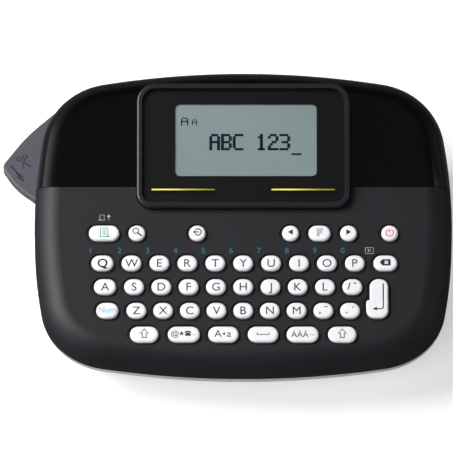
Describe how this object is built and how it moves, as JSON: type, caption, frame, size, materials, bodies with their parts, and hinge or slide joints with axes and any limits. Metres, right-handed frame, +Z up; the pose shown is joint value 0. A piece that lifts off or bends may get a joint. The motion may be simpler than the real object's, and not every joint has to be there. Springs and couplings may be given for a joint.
{
  "type": "label maker",
  "caption": "Hand-held label maker: wedge case, raised display, rubber keyboard, cutter lever, tape drive, tape cassette and cells under a back cover.",
  "frame": {"origin": "middle of the case in plan, on the surface that it rests on", "axes": "+X to the right of the keyboard, +Y from the keys to the display, +Z up"},
  "size_m": [0.1522, 0.112, 0.0506],
  "materials": {
    "charcoal_plastic": "fine matt texture",
    "gloss_black": "polished",
    "bezel_plastic": "satin",
    "window": "gloss black print behind a clear lens",
    "lcd": "pale green-grey display",
    "key_silicone": "smooth white silicone",
    "mat_silicone": "dark silicone",
    "circuit_board": "solder mask",
    "silver_plastic": "silver paint",
    "lever_plastic": "satin grey",
    "blade_steel": "ground",
    "cassette_plastic": "moulded",
    "head_ceramic": "glazed",
    "gear_plastic": "acetal",
    "roller_rubber": "ground rubber",
    "motor_steel": "plated",
    "cell_wrap": "printed sleeve",
    "contact_metal": "nickel plated",
    "screw_steel": "zinc plated"
  },
  "bodies": {
    "case": {"top_case": "charcoal_plastic", "gloss_cover": "gloss_black", "display_bezel": "bezel_plastic", "display_window": "window", "lcd_module": "lcd", "keypad_mat": "mat_silicone", "main_board": "circuit_board", "bottom_case": "silver_plastic", "print_head": "head_ceramic", "drive_motor": "motor_steel", "tape_cassette": "cassette_plastic", "battery_cells": "cell_wrap", "battery_contacts": "contact_metal", "case_screws": "screw_steel"},
    "lever": {"cutter_lever": "lever_plastic", "cutter_blade": "blade_steel"},
    "cover": {"back_cover": "silver_plastic"},
    "platen": {"platen_roller": "roller_rubber"},
    "idler": {"idler_gear": "gear_plastic"},
    "pinion": {"motor_pinion": "gear_plastic"},
    "key_q_moving": {"key_q": "key_silicone"},
    "key_w_moving": {"key_w": "key_silicone"},
    "key_e_moving": {"key_e": "key_silicone"},
    "key_r_moving": {"key_r": "key_silicone"},
    "key_t_moving": {"key_t": "key_silicone"},
    "key_y_moving": {"key_y": "key_silicone"},
    "key_u_moving": {"key_u": "key_silicone"},
    "key_i_moving": {"key_i": "key_silicone"},
    "key_o_moving": {"key_o": "key_silicone"},
    "key_p_moving": {"key_p": "key_silicone"},
    "key_a_moving": {"key_a": "key_silicone"},
    "key_s_moving": {"key_s": "key_silicone"},
    "key_d_moving": {"key_d": "key_silicone"},
    "key_f_moving": {"key_f": "key_silicone"},
    "key_g_moving": {"key_g": "key_silicone"},
    "key_h_moving": {"key_h": "key_silicone"},
    "key_j_moving": {"key_j": "key_silicone"},
    "key_k_moving": {"key_k": "key_silicone"},
    "key_l_moving": {"key_l": "key_silicone"},
    "key_z_moving": {"key_z": "key_silicone"},
    "key_x_moving": {"key_x": "key_silicone"},
    "key_c_moving": {"key_c": "key_silicone"},
    "key_v_moving": {"key_v": "key_silicone"},
    "key_b_moving": {"key_b": "key_silicone"},
    "key_n_moving": {"key_n": "key_silicone"},
    "key_m_moving": {"key_m": "key_silicone"},
    "key_num_moving": {"key_num": "key_silicone"},
    "key_backspace_moving": {"key_backspace": "key_silicone"},
    "key_enter_moving": {"key_enter": "key_silicone"},
    "key_print_moving": {"key_print": "key_silicone"},
    "key_preview_moving": {"key_preview": "key_silicone"},
    "key_escape_moving": {"key_escape": "key_silicone"},
    "cursor_keys_moving": {"cursor_keys": "key_silicone"},
    "key_font_moving": {"key_font": "key_silicone"},
    "key_power_moving": {"key_power": "key_silicone"},
    "shift_keys_moving": {"shift_keys": "key_silicone"},
    "picker_keys_moving": {"picker_keys": "key_silicone"},
    "key_capitals_moving": {"key_capitals": "key_silicone"},
    "key_space_moving": {"key_space": "key_silicone"},
    "punctuation_keys_moving": {"punctuation_keys": "key_silicone"}
  },
  "joints": [
    {"name": "lever_swing", "type": "hinge", "parent": "case", "child": "lever", "pos_m": [-0.0482, 0.042, 0.025], "axis": [0, 0, 1], "range_deg": [0, 20], "stiffness_Nm_per_rad": 0.02, "springref_deg": -5.73},
    {"name": "cover_lift", "type": "slide", "parent": "case", "child": "cover", "axis": [0, 0, -1], "range_m": [0, 0.03]},
    {"name": "platen_spin", "type": "hinge", "parent": "case", "child": "platen", "pos_m": [-0.0572, 0.0025, 0.015], "axis": [0, 0, 1], "continuous": true},
    {"name": "idler_spin", "type": "hinge", "parent": "case", "child": "idler", "pos_m": [-0.04637, 0.01333, 0.0296], "axis": [0, 0, 1], "continuous": true},
    {"name": "pinion_spin", "type": "hinge", "parent": "case", "child": "pinion", "pos_m": [-0.03951, 0.02522, 0.0296], "axis": [0, 0, 1], "continuous": true},
    {"name": "key_q_press", "type": "slide", "parent": "case", "child": "key_q_moving", "axis": [0, 0.1564, -0.9877], "range_m": [0, 0.001], "stiffness_N_per_m": 150, "springref_m": -0.0002},
    {"name": "key_w_press", "type": "slide", "parent": "case", "child": "key_w_moving", "axis": [0, 0.1564, -0.9877], "range_m": [0, 0.001], "stiffness_N_per_m": 150, "springref_m": -0.0002},
    {"name": "key_e_press", "type": "slide", "parent": "case", "child": "key_e_moving", "axis": [0, 0.1564, -0.9877], "range_m": [0, 0.001], "stiffness_N_per_m": 150, "springref_m": -0.0002},
    {"name": "key_r_press", "type": "slide", "parent": "case", "child": "key_r_moving", "axis": [0, 0.1564, -0.9877], "range_m": [0, 0.001], "stiffness_N_per_m": 150, "springref_m": -0.0002},
    {"name": "key_t_press", "type": "slide", "parent": "case", "child": "key_t_moving", "axis": [0, 0.1564, -0.9877], "range_m": [0, 0.001], "stiffness_N_per_m": 150, "springref_m": -0.0002},
    {"name": "key_y_press", "type": "slide", "parent": "case", "child": "key_y_moving", "axis": [0, 0.1564, -0.9877], "range_m": [0, 0.001], "stiffness_N_per_m": 150, "springref_m": -0.0002},
    {"name": "key_u_press", "type": "slide", "parent": "case", "child": "key_u_moving", "axis": [0, 0.1564, -0.9877], "range_m": [0, 0.001], "stiffness_N_per_m": 150, "springref_m": -0.0002},
    {"name": "key_i_press", "type": "slide", "parent": "case", "child": "key_i_moving", "axis": [0, 0.1564, -0.9877], "range_m": [0, 0.001], "stiffness_N_per_m": 150, "springref_m": -0.0002},
    {"name": "key_o_press", "type": "slide", "parent": "case", "child": "key_o_moving", "axis": [0, 0.1564, -0.9877], "range_m": [0, 0.001], "stiffness_N_per_m": 150, "springref_m": -0.0002},
    {"name": "key_p_press", "type": "slide", "parent": "case", "child": "key_p_moving", "axis": [0, 0.1564, -0.9877], "range_m": [0, 0.001], "stiffness_N_per_m": 150, "springref_m": -0.0002},
    {"name": "key_a_press", "type": "slide", "parent": "case", "child": "key_a_moving", "axis": [0, 0.1564, -0.9877], "range_m": [0, 0.001], "stiffness_N_per_m": 150, "springref_m": -0.0002},
    {"name": "key_s_press", "type": "slide", "parent": "case", "child": "key_s_moving", "axis": [0, 0.1564, -0.9877], "range_m": [0, 0.001], "stiffness_N_per_m": 150, "springref_m": -0.0002},
    {"name": "key_d_press", "type": "slide", "parent": "case", "child": "key_d_moving", "axis": [0, 0.1564, -0.9877], "range_m": [0, 0.001], "stiffness_N_per_m": 150, "springref_m": -0.0002},
    {"name": "key_f_press", "type": "slide", "parent": "case", "child": "key_f_moving", "axis": [0, 0.1564, -0.9877], "range_m": [0, 0.001], "stiffness_N_per_m": 150, "springref_m": -0.0002},
    {"name": "key_g_press", "type": "slide", "parent": "case", "child": "key_g_moving", "axis": [0, 0.1564, -0.9877], "range_m": [0, 0.001], "stiffness_N_per_m": 150, "springref_m": -0.0002},
    {"name": "key_h_press", "type": "slide", "parent": "case", "child": "key_h_moving", "axis": [0, 0.1564, -0.9877], "range_m": [0, 0.001], "stiffness_N_per_m": 150, "springref_m": -0.0002},
    {"name": "key_j_press", "type": "slide", "parent": "case", "child": "key_j_moving", "axis": [0, 0.1564, -0.9877], "range_m": [0, 0.001], "stiffness_N_per_m": 150, "springref_m": -0.0002},
    {"name": "key_k_press", "type": "slide", "parent": "case", "child": "key_k_moving", "axis": [0, 0.1564, -0.9877], "range_m": [0, 0.001], "stiffness_N_per_m": 150, "springref_m": -0.0002},
    {"name": "key_l_press", "type": "slide", "parent": "case", "child": "key_l_moving", "axis": [0, 0.1564, -0.9877], "range_m": [0, 0.001], "stiffness_N_per_m": 150, "springref_m": -0.0002},
    {"name": "key_z_press", "type": "slide", "parent": "case", "child": "key_z_moving", "axis": [0, 0.1564, -0.9877], "range_m": [0, 0.001], "stiffness_N_per_m": 150, "springref_m": -0.0002},
    {"name": "key_x_press", "type": "slide", "parent": "case", "child": "key_x_moving", "axis": [0, 0.1564, -0.9877], "range_m": [0, 0.001], "stiffness_N_per_m": 150, "springref_m": -0.0002},
    {"name": "key_c_press", "type": "slide", "parent": "case", "child": "key_c_moving", "axis": [0, 0.1564, -0.9877], "range_m": [0, 0.001], "stiffness_N_per_m": 150, "springref_m": -0.0002},
    {"name": "key_v_press", "type": "slide", "parent": "case", "child": "key_v_moving", "axis": [0, 0.1564, -0.9877], "range_m": [0, 0.001], "stiffness_N_per_m": 150, "springref_m": -0.0002},
    {"name": "key_b_press", "type": "slide", "parent": "case", "child": "key_b_moving", "axis": [0, 0.1564, -0.9877], "range_m": [0, 0.001], "stiffness_N_per_m": 150, "springref_m": -0.0002},
    {"name": "key_n_press", "type": "slide", "parent": "case", "child": "key_n_moving", "axis": [0, 0.1564, -0.9877], "range_m": [0, 0.001], "stiffness_N_per_m": 150, "springref_m": -0.0002},
    {"name": "key_m_press", "type": "slide", "parent": "case", "child": "key_m_moving", "axis": [0, 0.1564, -0.9877], "range_m": [0, 0.001], "stiffness_N_per_m": 150, "springref_m": -0.0002},
    {"name": "key_num_press", "type": "slide", "parent": "case", "child": "key_num_moving", "axis": [0, 0.1564, -0.9877], "range_m": [0, 0.001], "stiffness_N_per_m": 150, "springref_m": -0.0002},
    {"name": "key_backspace_press", "type": "slide", "parent": "case", "child": "key_backspace_moving", "axis": [0, 0.1564, -0.9877], "range_m": [0, 0.001], "stiffness_N_per_m": 150, "springref_m": -0.0002},
    {"name": "key_enter_press", "type": "slide", "parent": "case", "child": "key_enter_moving", "axis": [0, 0.1564, -0.9877], "range_m": [0, 0.001], "stiffness_N_per_m": 150, "springref_m": -0.0002},
    {"name": "key_print_press", "type": "slide", "parent": "case", "child": "key_print_moving", "axis": [0, 0.1564, -0.9877], "range_m": [0, 0.001], "stiffness_N_per_m": 150, "springref_m": -0.0002},
    {"name": "key_preview_press", "type": "slide", "parent": "case", "child": "key_preview_moving", "axis": [0, 0.1564, -0.9877], "range_m": [0, 0.001], "stiffness_N_per_m": 150, "springref_m": -0.0002},
    {"name": "key_escape_press", "type": "slide", "parent": "case", "child": "key_escape_moving", "axis": [0, 0.1564, -0.9877], "range_m": [0, 0.001], "stiffness_N_per_m": 150, "springref_m": -0.0002},
    {"name": "cursor_keys_press", "type": "slide", "parent": "case", "child": "cursor_keys_moving", "axis": [0, 0.1564, -0.9877], "range_m": [0, 0.001], "stiffness_N_per_m": 150, "springref_m": -0.0002},
    {"name": "key_font_press", "type": "slide", "parent": "case", "child": "key_font_moving", "axis": [0, 0.1564, -0.9877], "range_m": [0, 0.001], "stiffness_N_per_m": 150, "springref_m": -0.0002},
    {"name": "key_power_press", "type": "slide", "parent": "case", "child": "key_power_moving", "axis": [0, 0.1564, -0.9877], "range_m": [0, 0.001], "stiffness_N_per_m": 150, "springref_m": -0.0002},
    {"name": "shift_keys_press", "type": "slide", "parent": "case", "child": "shift_keys_moving", "axis": [0, 0.1564, -0.9877], "range_m": [0, 0.001], "stiffness_N_per_m": 150, "springref_m": -0.0002},
    {"name": "picker_keys_press", "type": "slide", "parent": "case", "child": "picker_keys_moving", "axis": [0, 0.1564, -0.9877], "range_m": [0, 0.001], "stiffness_N_per_m": 150, "springref_m": -0.0002},
    {"name": "key_capitals_press", "type": "slide", "parent": "case", "child": "key_capitals_moving", "axis": [0, 0.1564, -0.9877], "range_m": [0, 0.001], "stiffness_N_per_m": 150, "springref_m": -0.0002},
    {"name": "key_space_press", "type": "slide", "parent": "case", "child": "key_space_moving", "axis": [0, 0.1564, -0.9877], "range_m": [0, 0.001], "stiffness_N_per_m": 150, "springref_m": -0.0002},
    {"name": "punctuation_keys_press", "type": "slide", "parent": "case", "child": "punctuation_keys_moving", "axis": [0, 0.1564, -0.9877], "range_m": [0, 0.001], "stiffness_N_per_m": 150, "springref_m": -0.0002}
  ],
  "couplings": [
    {"joint": "platen_spin", "follows": "idler_spin", "ratio": -2.1667},
    {"joint": "pinion_spin", "follows": "idler_spin", "ratio": -3.25}
  ]
}
